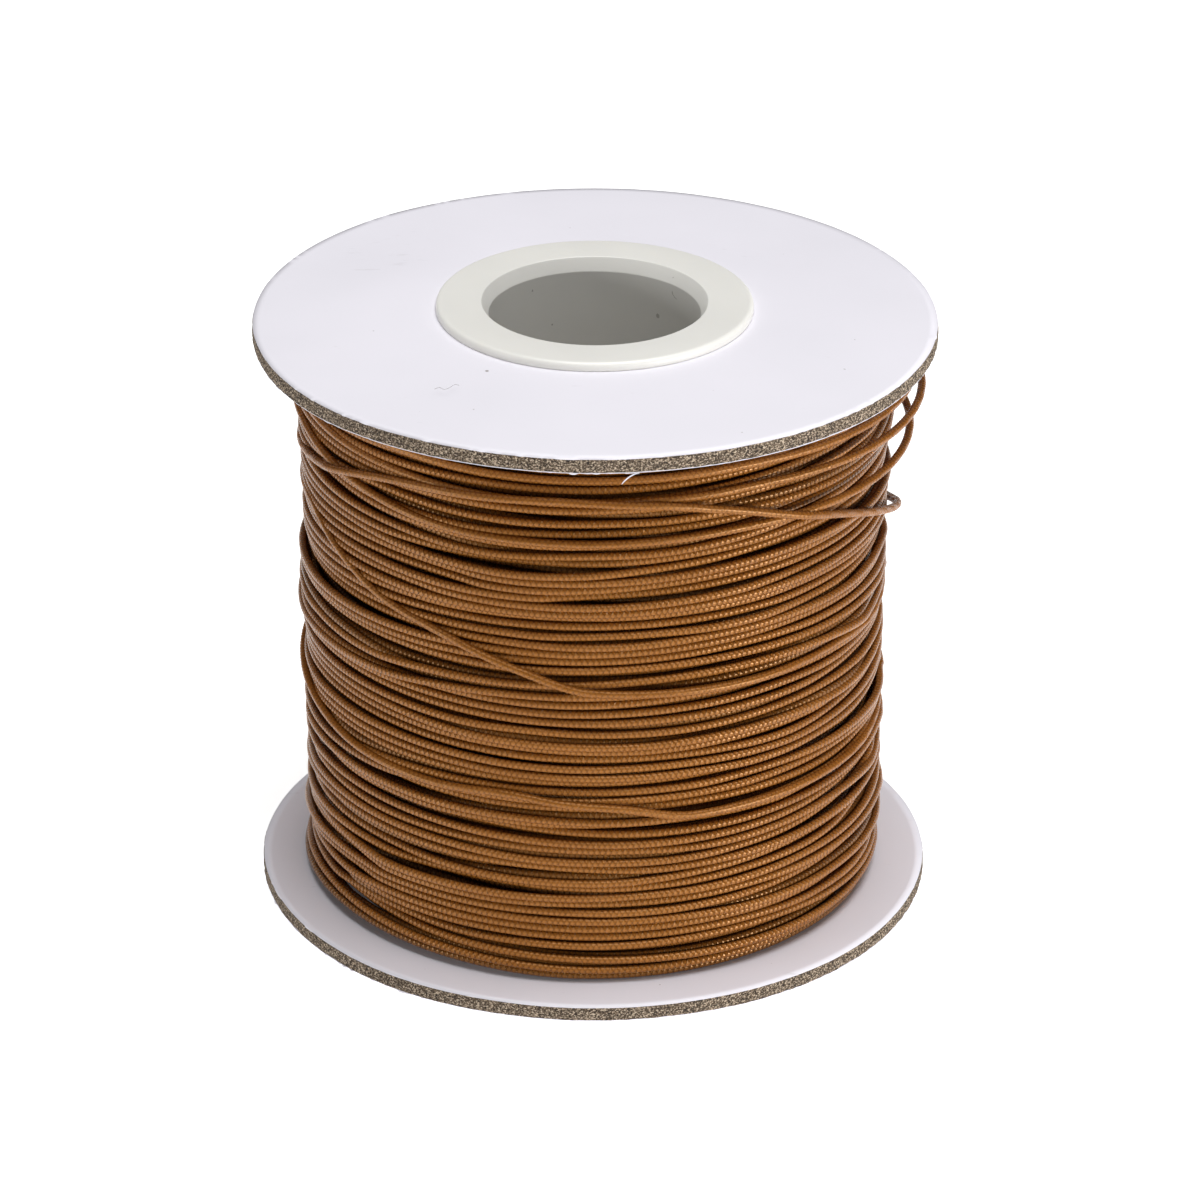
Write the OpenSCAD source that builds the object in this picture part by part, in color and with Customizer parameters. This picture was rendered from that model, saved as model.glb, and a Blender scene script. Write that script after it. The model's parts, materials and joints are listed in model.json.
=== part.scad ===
// Spool of waxed cord: two paper-faced greyboard flanges on a cardboard core,
// held by a plastic bush pushed into each end, and wound full of cord.
// Millimetres. +Z is the spool's axis; the lower bush's rim stands on z = 0.

/* [Flanges] */
// Diameter of each flange
flange_d = 76; // [72:1:100]
// Thickness of the greyboard inside a flange
board_t = 1.5; // [1:0.1:3]
// Thickness of the paper glued to each side of the board
paper_t = 0.1; // [0.1:0.05:0.3]
// Width of the spool over the edges of both flanges
spool_w = 68; // [60:1:90]
// How far the upper flange's edge sits below its middle
dish = 1; // [0:0.1:2]

/* [Bushes] */
// Diameter of the bore that a spindle goes through
bore_d = 23.5; // [18:0.5:25]
// Wall of the sleeve inside the core
sleeve_wall = 1.5; // [1:0.1:2]
// Length of the sleeve below its rim
sleeve_l = 24; // [10:1:28]
// Diameter of the rim that holds the flange on
rim_d = 35.2; // [32:0.2:40]
// Height of the rim above the flange
rim_t = 1; // [0.8:0.1:2]
// Round on the rim's outer edge
rim_round = 0.6; // [0.2:0.1:0.7]
// How much wider the bore is at its mouth, on the radius
mouth_w = 0.8; // [0.2:0.1:1.2]
// Depth of the widened mouth
mouth_depth = 1.5; // [0.5:0.1:3]

/* [Core] */
// Wall of the cardboard core tube
core_wall = 2.5; // [1:0.5:4]

/* [Cord] */
// Diameter of the waxed cord
cord_d = 1; // [0.8:0.1:1.2]
// Diameter over the wound cord
wound_d = 65.6; // [60:0.2:68]
// How far the winding draws in beside each flange, on the radius
wound_shoulder = 0.5; // [0:0.1:1]
// Height of the shoulder beside each flange
shoulder_h = 3; // [1:0.5:6]
// Thickness of the last layer of turns
top_layer_t = 1.2; // [1:0.1:2]

/* [Slack turns] */
// Angle each side of +X over which a slack turn stands off the winding
slack_half_angle = 60; // [40:5:75]
// Distance of the highest slack turn below the upper flange
slack_top_drop = 3; // [2:0.5:3.5]
// Distance of the middle slack turn below the upper flange
slack_middle_drop = 5.5; // [4.5:0.5:8]
// Distance of the lowest slack turn below the upper flange
slack_low_drop = 10.3; // [9:0.1:12]

/* [Hidden] */

flange_t = board_t + 2 * paper_t;
total_h = spool_w + dish + 2 * rim_t;
sleeve_od = bore_d + 2 * sleeve_wall;
core_od = sleeve_od + 2 * core_wall;

lower_flange_z = rim_t;
upper_flange_z = rim_t + spool_w - flange_t;
wound_z0 = lower_flange_z + flange_t;
wound_z1 = upper_flange_z;
wound_r = wound_d / 2;
layer_r = wound_r - top_layer_t;
core_r = core_od / 2;
rim_r = rim_d / 2;
flange_r = flange_d / 2;

// How much higher the upper flange is at radius r than at its edge
function rise(r) = dish * min(1, (flange_r - r) / (flange_r - rim_r));

// Centre line of a cord that lies on the winding, a hair clear of it
lying_r = wound_r + cord_d / 2 + 0.1;

// How far each slack turn stands off the winding at +X
slack_top_standoff = 2.2;
slack_middle_standoff = 3;
slack_low_standoff = 1.8;

// The stray turn slants down over the others and round the +X side.
// Each point is [angle about the axis, stand-off from a lying cord, height].
stray_route = [
    [-125, 0, 61], [-110, 0, 61.6], [-95, 0, 62], [-80, 0, 61.6],
    [-65, 0, 59.8], [-50, 0, 57.2], [-40, 0, 55.2], [-30, 0, 53],
    [-20, 0.2, 50.8], [-10, 0.5, 48.6], [0, 0.7, 46.6], [10, 0.6, 44.6],
    [20, 0.3, 43.2], [35, 0, 42], [50, 0, 41.2]
];

// One raised turn runs down from the left and levels out at the front
crossing_route = [
    [-165, 0, 50.8], [-150, 0, 48.4], [-135, 0, 45.4], [-120, 0, 43.8],
    [-105, 0, 41.4], [-90, 0, 39], [-75, 0, 38.6], [-60, 0, 38.4]
];

smooth = 96;
tube_sides = 8;
rings_per_step = 3;

lower_hub_bush();
upper_hub_bush();
core_tube();
lower_flange_outer_paper();
lower_flange_board();
lower_flange_inner_paper();
upper_flange_inner_paper();
upper_flange_board();
upper_flange_outer_paper();
cord_pack();
cord_top_layer();
cord_slack_turn_low();
cord_slack_turn_middle();
cord_slack_turn_top();
cord_stray_turn();
cord_crossing_turn();

// ---- Hub ----

// Half section of a bush that stands on its rim, with the sleeve upwards
module bush_section() {
    bore_r = bore_d / 2;
    difference() {
        union() {
            translate([bore_r, 0])
                square([sleeve_wall, rim_t + sleeve_l]);
            translate([bore_r, 0])
                square([rim_d / 2 - rim_round - bore_r, rim_t]);
            translate([bore_r, rim_round])
                square([rim_d / 2 - bore_r, rim_t - rim_round]);
            translate([rim_d / 2 - rim_round, rim_round])
                circle(r = rim_round, $fn = 48);
        }
        polygon([
            [bore_r - 1, -1],
            [bore_r + mouth_w, -1],
            [bore_r + mouth_w, 0],
            [bore_r, mouth_depth],
            [bore_r - 1, mouth_depth]
        ]);
    }
}

module bush() {
    rotate_extrude($fn = smooth) bush_section();
}

module lower_hub_bush() {
    color("ivory") bush();
}

module upper_hub_bush() {
    color("ivory")
        translate([0, 0, total_h])
            mirror([0, 0, 1])
                bush();
}

module core_tube() {
    color("burlywood")
        translate([0, 0, wound_z0])
            difference() {
                cylinder(h = wound_z1 + dish - wound_z0, d = core_od, $fn = smooth);
                translate([0, 0, -1])
                    cylinder(h = spool_w, d = sleeve_od, $fn = smooth);
            }
}

// ---- Flanges ----

// One layer of a flange, flat under the bush's rim and then sloping down by drop
module flange_layer(z, thickness, drop) {
    top = z + drop;
    rotate_extrude($fn = smooth)
        polygon([
            [sleeve_od / 2, top],
            [rim_r, top],
            [flange_r, z],
            [flange_r, z + thickness],
            [rim_r, top + thickness],
            [sleeve_od / 2, top + thickness]
        ]);
}

module flange_paper(z, drop) {
    color("ghostwhite") flange_layer(z, paper_t, drop);
}

module flange_board(z, drop) {
    color([0.52, 0.49, 0.44]) flange_layer(z, board_t, drop);
}

module lower_flange_outer_paper() { flange_paper(lower_flange_z, 0); }
module lower_flange_board() { flange_board(lower_flange_z + paper_t, 0); }
module lower_flange_inner_paper() { flange_paper(wound_z0 - paper_t, 0); }
module upper_flange_inner_paper() { flange_paper(upper_flange_z, dish); }
module upper_flange_board() { flange_board(upper_flange_z + paper_t, dish); }
module upper_flange_outer_paper() { flange_paper(upper_flange_z + flange_t - paper_t, dish); }

// ---- Wound cord ----

// Everything under the last layer, as one body of cord on the core
module cord_pack() {
    color("sienna")
        rotate_extrude($fn = smooth)
            polygon([
                [core_r, wound_z0],
                [layer_r, wound_z0],
                [layer_r, wound_z1 + rise(layer_r)],
                [rim_r, wound_z1 + dish],
                [core_r, wound_z1 + dish]
            ]);
}

// The last layer, drawn in a little beside each flange
module cord_top_layer() {
    color("peru")
        rotate_extrude($fn = smooth)
            polygon([
                [layer_r, wound_z0],
                [wound_r - wound_shoulder, wound_z0],
                [wound_r, wound_z0 + shoulder_h],
                [wound_r, wound_z1 - shoulder_h],
                [wound_r - wound_shoulder, wound_z1 + rise(wound_r - wound_shoulder)],
                [layer_r, wound_z1 + rise(layer_r)]
            ]);
}

// A turn that lies on the winding at both sides of +X and bows out between them.
// The bow is the arc of a circle whose centre is bow_x from the axis.
module slack_turn(drop, standoff) {
    out_r = lying_r + standoff;
    touch_x = lying_r * cos(slack_half_angle);
    touch_y = lying_r * sin(slack_half_angle);
    bow_x = (out_r * out_r - lying_r * lying_r) / (2 * (out_r - touch_x));
    bow_r = out_r - bow_x;
    bow_angle = atan2(touch_y, touch_x - bow_x);
    color("chocolate")
        translate([bow_x, 0, wound_z1 - drop])
            rotate([0, 0, -bow_angle])
                rotate_extrude(angle = 2 * bow_angle, $fn = smooth)
                    translate([bow_r, 0])
                        circle(d = cord_d, $fn = 24);
}

module cord_slack_turn_low() { slack_turn(slack_low_drop, slack_low_standoff); }
module cord_slack_turn_middle() { slack_turn(slack_middle_drop, slack_middle_standoff); }
module cord_slack_turn_top() { slack_turn(slack_top_drop, slack_top_standoff); }

// ---- Turns that lie across the others ----

// A route point [angle, stand-off, height] as [x, y, z]
function on_spool(p) = [
    (lying_r + p[1]) * cos(p[0]),
    (lying_r + p[1]) * sin(p[0]),
    p[2]
];

// A point at fraction t of the smooth curve from b to c, with neighbours a and d
function blend(a, b, c, d, t) =
    b + t * ((c - a) / 2 + t * (a - 2.5 * b + 2 * c - d / 2 + t * ((d - a) / 2 + 1.5 * (b - c))));

// A smooth route through every point of route
function smooth_route(route) =
    let (last = len(route) - 1)
    [
        for (i = [0 : last - 1], k = [0 : rings_per_step - 1])
            blend(
                route[max(i - 1, 0)], route[i], route[i + 1], route[min(i + 2, last)],
                k / rings_per_step
            ),
        route[last]
    ];

function unit(v) = v / norm(v);

// Direction of a path at its point i
function heading(path, i) =
    unit(path[min(i + 1, len(path) - 1)] - path[max(i - 1, 0)]);

// One ring of the tube at point i, square to the path
function tube_ring(path, i) =
    let (
        ahead = heading(path, i),
        side = unit(cross(ahead, [0, 0, 1])),
        above = cross(side, ahead)
    )
    [
        for (k = [0 : tube_sides - 1])
            let (turn = 360 * k / tube_sides)
            path[i] + cord_d / 2 * (cos(turn) * side + sin(turn) * above)
    ];

// A closed tube of cord along a path
module cord_tube(path) {
    rings = len(path);
    points = [for (i = [0 : rings - 1]) each tube_ring(path, i)];
    sides = [
        for (i = [0 : rings - 2], k = [0 : tube_sides - 1])
            let (next = (k + 1) % tube_sides, here = i * tube_sides, there = here + tube_sides)
            [here + k, there + k, there + next, here + next]
    ];
    start_cap = [for (k = [0 : tube_sides - 1]) k];
    end_cap = [for (k = [tube_sides - 1 : -1 : 0]) (rings - 1) * tube_sides + k];
    polyhedron(points, concat([start_cap], sides, [end_cap]));
}

module cord_stray_turn() {
    color("peru")
        cord_tube([for (p = smooth_route(stray_route)) on_spool(p)]);
}

module cord_crossing_turn() {
    color("peru")
        cord_tube([for (p = smooth_route(crossing_route)) on_spool(p)]);
}
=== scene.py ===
# %% [markdown]
# # A spool of waxed cord
#
# A full roll of 1 mm waxed, braided cord stands on a table. Two discs of
# white-faced greyboard close its ends, and a pale plastic bush with a flat rim
# holds each disc on. Nothing on it moves, so the whole lesson is about looks:
# how to pile up hundreds of turns of cord so that they cross, bridge and slip
# as real ones do, and how cut board, paper and moulded plastic differ.
#
# The measured frame comes in first. It gives every place and size below.

# %% Load the frame
import bpy
import json
import math
import numpy as np
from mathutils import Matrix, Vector

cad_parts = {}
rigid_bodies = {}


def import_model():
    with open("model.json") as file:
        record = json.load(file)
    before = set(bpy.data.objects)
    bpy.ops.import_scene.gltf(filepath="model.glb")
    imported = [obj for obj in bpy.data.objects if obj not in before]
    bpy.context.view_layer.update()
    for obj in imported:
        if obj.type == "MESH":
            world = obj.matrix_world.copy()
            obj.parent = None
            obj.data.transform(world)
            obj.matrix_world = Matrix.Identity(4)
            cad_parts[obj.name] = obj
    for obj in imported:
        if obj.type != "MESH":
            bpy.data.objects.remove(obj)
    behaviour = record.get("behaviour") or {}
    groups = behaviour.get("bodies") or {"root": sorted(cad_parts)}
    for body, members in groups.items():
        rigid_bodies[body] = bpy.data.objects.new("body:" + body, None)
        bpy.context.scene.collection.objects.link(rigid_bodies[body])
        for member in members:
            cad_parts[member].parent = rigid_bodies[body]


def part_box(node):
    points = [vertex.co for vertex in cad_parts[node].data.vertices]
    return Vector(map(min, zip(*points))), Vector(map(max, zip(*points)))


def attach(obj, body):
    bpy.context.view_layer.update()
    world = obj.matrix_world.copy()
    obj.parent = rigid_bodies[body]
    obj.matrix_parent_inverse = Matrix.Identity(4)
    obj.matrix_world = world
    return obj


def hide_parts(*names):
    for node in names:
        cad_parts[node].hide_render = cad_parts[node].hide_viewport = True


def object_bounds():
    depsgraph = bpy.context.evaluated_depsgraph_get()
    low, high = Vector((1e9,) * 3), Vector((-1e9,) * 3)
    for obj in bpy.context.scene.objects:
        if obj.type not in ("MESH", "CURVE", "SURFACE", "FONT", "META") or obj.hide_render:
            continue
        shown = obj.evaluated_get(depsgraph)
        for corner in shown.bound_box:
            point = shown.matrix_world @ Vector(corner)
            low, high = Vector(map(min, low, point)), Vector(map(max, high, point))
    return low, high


for leftover in list(bpy.data.objects):
    bpy.data.objects.remove(leftover)
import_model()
cad_box = [list(corner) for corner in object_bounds()]
MM = 0.001
print("frame box in mm:", [[round(v / MM, 1) for v in corner] for corner in cad_box])


# %% [markdown]
# ## The camera
#
# A long lens from about 0.7 m flattens the spool, as product pictures do. The
# camera looks down by about 26 degrees at the middle of the spool, so it needs
# no lens shift.

# %% Place the camera
spool_low, spool_high = (Vector(corner) for corner in cad_box)
spool_middle = (spool_low + spool_high) / 2
camera_distance = 0.674
camera_tilt = math.radians(25.87)
camera_roll = math.radians(0.19)
aim_at = spool_middle + Vector((0.68, 0, -1.4)) * MM

camera_data = bpy.data.cameras.new("camera")
camera_data.sensor_width = 36
camera_data.lens = 178.4
camera_data.dof.use_dof = False
camera = bpy.data.objects.new("camera", camera_data)
bpy.context.collection.objects.link(camera)
back_and_up = Vector((0, -math.cos(camera_tilt), math.sin(camera_tilt)))
camera.location = aim_at + camera_distance * back_and_up
camera.rotation_euler = (math.pi / 2 - camera_tilt, 0, 0)
camera.rotation_euler.rotate_axis("Z", camera_roll)
bpy.context.scene.camera = camera
bpy.context.scene.view_settings.view_transform = "Standard"
print("camera at", [round(v, 4) for v in camera.location])


# %% [markdown]
# ## How the cord is wound
#
# On the real roll a guide runs up and down while the core turns, so the cord
# lies in layers of close turns. Each turn is under tension: it rests on the
# turns below, slides into the grooves between them, and bridges small gaps.
#
# Two things could be done. A helix per layer is quick, and looks machine made:
# every line is parallel. A physics simulation of 160 m of cord would take
# hours. So the turns are laid one at a time by a small rule that has the same
# effect. At every 2 degrees round the spool, a turn may shift a little to
# either side of where the guide would put it. A shortest-path search picks the
# shifts that let it lie deepest while bending least. As they are laid, two
# cords side by side never have their centre lines less than one cord apart.
#
# Only the outer layers are laid. A plain roll fills the space under them.

# %% Sizes of the winding, in millimetres
def node_size(node):
    """Lowest and highest corner of a frame node, in millimetres."""
    low, high = (np.array(corner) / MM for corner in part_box(node))
    return low, high


wound_low, wound_high = node_size("cord_top_layer")
wound_r = wound_high[0]
wound_z0, wound_z1 = wound_low[2], wound_high[2]
slack_low, slack_high = node_size("cord_slack_turn_top")
cord_d = slack_high[2] - slack_low[2]
print(f"wound to radius {wound_r:.1f} mm from z {wound_z0:.1f} to {wound_z1:.1f}, cord {cord_d:.2f} mm")

stations = 180                       # places round the spool where a turn is worked out
station_angle = 2 * np.pi * np.arange(stations) / stations
random = np.random.default_rng(27)


# %% The pile, and where a turn would rest on it
class Pile:
    """The turns laid so far: height z and radius r of each, at every station."""

    def __init__(self, room):
        self.z = np.full((stations, room), -1000.0)
        self.r = np.zeros((stations, room))
        self.count = 0

    def rest(self, station, z):
        """The least radius at which a cord fits at each z, for a row of z at each station."""
        below = slice(max(0, self.count - 190), self.count)
        apart = z[:, :, None] - self.z[station, below][:, None, :]
        gap = cord_d ** 2 - apart ** 2
        lying = self.r[station, below][:, None, :] + np.sqrt(np.maximum(gap, 0))
        return np.where(gap > 0, lying, 0.0).max(axis=2, initial=0.0)

    def add(self, z, r):
        """Put one whole turn on the pile."""
        self.z[:, self.count] = z
        self.r[:, self.count] = r
        self.count += 1


# %% Smoothing along a turn
def smooth_rows(values, width, mode="edge"):
    """Gaussian smoothing down the first axis, width in rows."""
    reach = int(3 * width) + 1
    steps = np.arange(-reach, reach + 1)
    weights = np.exp(-0.5 * (steps / width) ** 2)
    weights /= weights.sum()
    sides = [(reach, reach)] + [(0, 0)] * (values.ndim - 1)
    padded = np.pad(values, sides, mode=mode)
    return sum(weight * padded[i:i + len(values)] for i, weight in enumerate(weights))


def unit_noise(count, width):
    """Smooth random values with a spread of 1."""
    values = smooth_rows(random.normal(size=count), width)
    return values / values.std()


# %% Lay one turn: find its shifts, then pull it tight
shifts = np.linspace(-0.6, 0.6, 13)  # ways to slip aside, in millimetres
guide_pull = 0.75                    # how much a turn wants to stay under the guide
bend_cost = 26.0                     # how much it resists slipping further from one station to the next
look_ahead = 24                      # stations worked out past the turn's end, then dropped


def lay_turn(pile, target, first_shift):
    """The sideways shift of a turn at every station, by the cheapest way through."""
    station = np.arange(len(target)) % stations
    z = np.clip(target[:, None] + shifts[None, :], low_end, high_end)
    own = pile.rest(station, z) + guide_pull * shifts ** 2
    step = bend_cost * (shifts[:, None] - shifts[None, :]) ** 2
    cost = own[0] + bend_cost * (shifts - first_shift) ** 2
    came_from = np.zeros((len(target), len(shifts)), int)
    for i in range(1, len(target)):
        ways = cost[:, None] + step
        came_from[i] = ways.argmin(axis=0)
        cost = ways.min(axis=0) + own[i]
    pick = np.zeros(len(target), int)
    pick[-1] = cost.argmin()
    for i in range(len(target) - 1, 0, -1):
        pick[i - 1] = came_from[i, pick[i]]
    return shifts[pick]


def pull_tight(rest_r, width=2.5):
    """A taut cord bridges the dips that it would have to bend into."""
    r = rest_r.copy()
    for _ in range(4):
        r = np.maximum(rest_r, smooth_rows(r, width))
    return smooth_rows(r, 0.8)


# %% Where the guide goes, layer after layer
layer_count = 5
turn_pitch = 1.1
low_end = wound_z0 + cord_d / 2
high_end = wound_z1 - cord_d / 2
turns_per_layer = int((high_end - low_end) / turn_pitch)
turn_total = layer_count * turns_per_layer
all_stations = turn_total * stations + look_ahead

layers_done = np.arange(all_stations) / stations / turns_per_layer
going_up = np.floor(layers_done).astype(int) % 2 == 0
along = layers_done % 1.0
along = np.where(going_up, along, 1 - along)
guide = low_end + along * (high_end - low_end)
print(f"{turn_total} turns in {layer_count} layers, {turns_per_layer} turns up or down")


# %% [markdown]
# Neighbouring turns wander together, because each one follows the one before.
# So most of the drift is noise that changes slowly from turn to turn. On top of
# that, each turn has a little wander of its own, and now and then one slips
# right over a few of its neighbours and back. Those slips leave the slanting
# crossings and dark wedges that make a hand-filled roll look real.

# %% How the turns wander
drift_mm, own_mm = 0.45, 0.10
together = smooth_rows(random.normal(size=(turn_total + 1, stations)), 2.6).ravel()[:all_stations]
together = smooth_rows(together, 14)
guide += drift_mm * together / together.std() + own_mm * unit_noise(all_stations, 18)
slips_per_layer = 20
for slip in range(slips_per_layer * (layer_count - 1), 0, -1):
    middle = all_stations - random.uniform(0, 1) * turns_per_layer * stations * (layer_count - 1)
    size = random.choice([-1, 1]) * random.uniform(0.7, 1.7)
    from_end = min(guide[int(middle)] - low_end, high_end - guide[int(middle)])
    size *= np.clip(from_end / 8, 0.15, 1)
    guide += size * np.exp(-0.5 * ((np.arange(all_stations) - middle) / random.uniform(16, 34)) ** 2)
guide = np.clip(guide, low_end, high_end)


# %% Lay them all
overlap = 12             # stations of the turn before that are smoothed in with the next
pile = Pile(turn_total + 12)
turn_z = np.zeros((turn_total, stations))
turn_r = np.zeros((turn_total, stations))
tail_z, tail_r = np.zeros(0), np.zeros(0)
last_shift = 0.0
for turn in range(turn_total):
    window = slice(turn * stations, (turn + 1) * stations + look_ahead)
    shift = lay_turn(pile, guide[window], last_shift)
    z = smooth_rows(np.concatenate([tail_z, guide[window] + shift]), 2.2)[len(tail_z):]
    z = np.clip(z, low_end, high_end)
    rest_r = pile.rest(np.arange(len(z)) % stations, z[:, None])[:, 0]
    r = pull_tight(np.concatenate([tail_r, rest_r]))[len(tail_r):]
    turn_z[turn], turn_r[turn] = z[:stations], r[:stations]
    tail_z, tail_r = turn_z[turn, -overlap:], turn_r[turn, -overlap:]
    last_shift = shift[stations - 1]
    pile.add(turn_z[turn], turn_r[turn])
print(f"the layers are {turn_r[-turns_per_layer:].mean():.2f} mm thick")


# %% [markdown]
# Small errors pile up: where a few turns rode up, the next ones did too. A real
# roll evens itself out, because its lower turns give. So a smooth map of the
# roll's surface is taken away from all the layers together. What still stands
# proud of it is squashed, as soft cord is. This has a price: about a quarter of
# the contacts end up overlapping, by less than 0.4 mm. From where the camera
# stands it reads as cords pressed together. A close-up would show them merging.

# %% Even out the roll, and bring it to its measured radius
cell = 0.5
bands = int((wound_z1 - wound_z0) / cell) + 1
band_z = wound_z0 + cell * np.arange(bands)
surface = np.zeros((stations, bands))
top_turns = slice(turn_total - turns_per_layer - 20, turn_total)
for z, r in zip(turn_z[top_turns], turn_r[top_turns]):
    band = np.clip(np.rint((z - wound_z0) / cell).astype(int), 0, bands - 1)
    for beside in (-1, 0, 1):
        at = (np.arange(stations), np.clip(band + beside, 0, bands - 1))
        surface[at] = np.maximum(surface[at], r)
surface = smooth_rows(surface, 5, mode="wrap")
surface = smooth_rows(surface.T, 3).T
squash = 0.55            # the soft cord flattens where it rides over another


def roll_profile(z):
    """The roll is a touch fuller below the upper flange, and draws in beside both."""
    full = 0.15 * np.clip((z - 38) / 24, 0, 1) ** 2
    ends = np.exp(-(z - wound_z0) / 1.6) + np.exp(-(wound_z1 - z) / 1.6)
    return full - 0.5 * ends


def evened(z, r):
    """Radius from the axis of a turn, from its height in the pile."""
    station = np.arange(z.shape[-1]) % stations
    place = (z - wound_z0) / cell
    band = np.clip(place.astype(int), 0, bands - 2)
    part = place - band
    here = surface[station, band] * (1 - part) + surface[station, band + 1] * part
    proud = r - here
    proud = np.where(proud > 0, squash * proud, proud)
    return wound_r - cord_d / 2 + proud + roll_profile(z)


turn_r = np.array([evened(z, r) for z, r in zip(turn_z, turn_r)])
pile.r[:, :turn_total] = turn_r.T
outer_r = turn_r[-turns_per_layer:]
print(f"outer turns between radius {outer_r.min():.2f} and {outer_r.max():.2f} mm")


# %% [markdown]
# ## The last turns
#
# The guide had stopped when the last few turns went on, so they wander. Where
# one runs behind others, its stand-off is negative, which sinks it among them.
# Three stand off the roll on the right, below the upper flange. The next one slants
# down over the others and round the right side. Another runs down from the
# left and levels out in front, and the end goes under a turn at the back.
#
# It is all one length of cord, so it is one route. Each point is a total angle
# in degrees, a height, and how far the cord stands off what it would rest on.

# %% Route of the last turns
slack_places = []
for node in ("cord_slack_turn_top", "cord_slack_turn_middle", "cord_slack_turn_low"):
    low, high = node_size(node)
    slack_places.append(((low[2] + high[2]) / 2, high[0] - cord_d / 2))
slack_half_angle = math.radians(60)
lying_r = wound_r + cord_d / 2 + 0.1

slack_route = [(-180, slack_places[0][0] + 0.9, -1.3), (-150, slack_places[0][0] + 0.6, 0)]
for number, (height, _) in enumerate(slack_places):
    slack_route += [(360 * number - 110, height - 0.4, -0.5)]
    slack_route += [(360 * number + angle, height, 0) for angle in (-60, 0, 60)]
    slack_route += [(360 * number + 180, height - 1.3, -0.6)]
stray_turn_start, crossing_start = 3 * 360, 4 * 360
stray_route = [
    (-125, 61, -0.7), (-110, 61.6, -0.6), (-95, 62, -0.4), (-80, 61.6, -0.15),
    (-65, 59.8, 0), (-50, 57.2, 0), (-40, 55.2, 0), (-30, 53, 0),
    (-20, 50.8, 0.2), (-10, 48.6, 0.5), (0, 46.6, 0.7), (10, 44.6, 0.6),
    (20, 43.2, 0.3), (35, 42, 0), (50, 41.2, -0.3),
]
crossing_route = [
    (-165, 50.8, -0.8), (-150, 48.4, -0.75), (-135, 45.4, -0.7), (-120, 43.8, -0.5),
    (-105, 41.4, -0.1), (-90, 39, 0), (-75, 38.6, 0), (-60, 38.4, -0.2),
]
end_route = [
    (-25, 38.2, -0.5), (0, 38, -0.7), (60, 36, -0.6), (120, 32, -0.5),
    (180, 28.6, -0.3), (222, 25.6, -0.5), (238, 25.4, -0.4), (254, 25.9, -0.2),
    (264, 25.4, 0), (275, 24.8, 0), (289, 23.3, 0), (303, 23.2, -0.2), (330, 23.1, -0.5),
    (360, 23, -0.8), (400, 22.6, -1), (440, 22.4, -1.4),
]
last_route = slack_route
last_route += [(stray_turn_start + angle, z, off) for angle, z, off in stray_route]
last_route += [(crossing_start + angle, z, off) for angle, z, off in crossing_route]
last_route += [(crossing_start + angle, z, off) for angle, z, off in end_route]
route_angle, route_z, route_off = (np.array(column, float) for column in zip(*last_route))
print(f"the last turns go round {(route_angle[-1] - route_angle[0]) / 360:.1f} times")


# %% Lay the last turns on the pile
def through_points(x, known_x, known_y):
    """A smooth curve through known points (a monotone cubic, so that it doesn't overshoot)."""
    slope = np.diff(known_y) / np.diff(known_x)
    tangent = np.zeros_like(known_y)
    same_way = slope[1:] * slope[:-1] > 0
    both = np.where(same_way, slope[1:] + slope[:-1], 1)
    tangent[1:-1] = np.where(same_way, 2 * slope[1:] * slope[:-1] / both, 0)
    i = np.clip(np.searchsorted(known_x, x, side="right") - 1, 0, len(slope) - 1)
    width = known_x[i + 1] - known_x[i]
    t = (x - known_x[i]) / width
    start, end = known_y[i], known_y[i + 1]
    ease = t * t * (3 - 2 * t)
    return start + ease * (end - start) + width * t * (1 - t) * ((1 - t) * tangent[i] - t * tangent[i + 1])


def bowed_out(angle, out_r):
    """Radius of a slack turn: an arc that touches the roll at both sides of +X and reaches out_r on it."""
    touch_x = lying_r * math.cos(slack_half_angle)
    bow_x = (out_r ** 2 - lying_r ** 2) / (2 * (out_r - touch_x))
    bow_r = out_r - bow_x
    return bow_x * np.cos(angle) + np.sqrt(bow_r ** 2 - (bow_x * np.sin(angle)) ** 2)


last_count = int((route_angle[-1] - route_angle[0]) / 360 * stations) + 1
last_angle = np.radians(np.linspace(route_angle[0], route_angle[-1], last_count))
last_z = through_points(np.degrees(last_angle), route_angle, route_z)
last_off = through_points(np.degrees(last_angle), route_angle, route_off)
first_station = int(round(route_angle[0] / 360 * stations)) % stations
last_station = (first_station + np.arange(last_count)) % stations
last_r = np.zeros(last_count)
for start in range(0, last_count, stations):
    block = slice(start, min(start + stations, last_count))
    rest_r = pile.rest(last_station[block], last_z[block][:, None])[:, 0]
    last_r[block] = rest_r
    joined = slice(max(0, start - overlap), block.stop)
    last_r[block] = pull_tight(last_r[joined])[block.start - joined.start:]
    turns_in = np.round(last_angle[block] / (2 * np.pi))
    for number, (_, out_r) in enumerate(slack_places):
        bow = bowed_out(last_angle[block] - 2 * np.pi * number, out_r)
        near = (turns_in == number) & (np.cos(last_angle[block]) > math.cos(slack_half_angle))
        last_r[block] = np.where(near, np.maximum(last_r[block], bow), last_r[block])
    laid_z, laid_r = np.full(stations, -1000.0), np.zeros(stations)
    laid_z[last_station[block]], laid_r[last_station[block]] = last_z[block], last_r[block]
    pile.add(laid_z, laid_r)
last_r = smooth_rows(last_r, 1.5) + last_off
print(f"the last turns reach radius {last_r.max() + cord_d / 2:.2f} mm")


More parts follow.
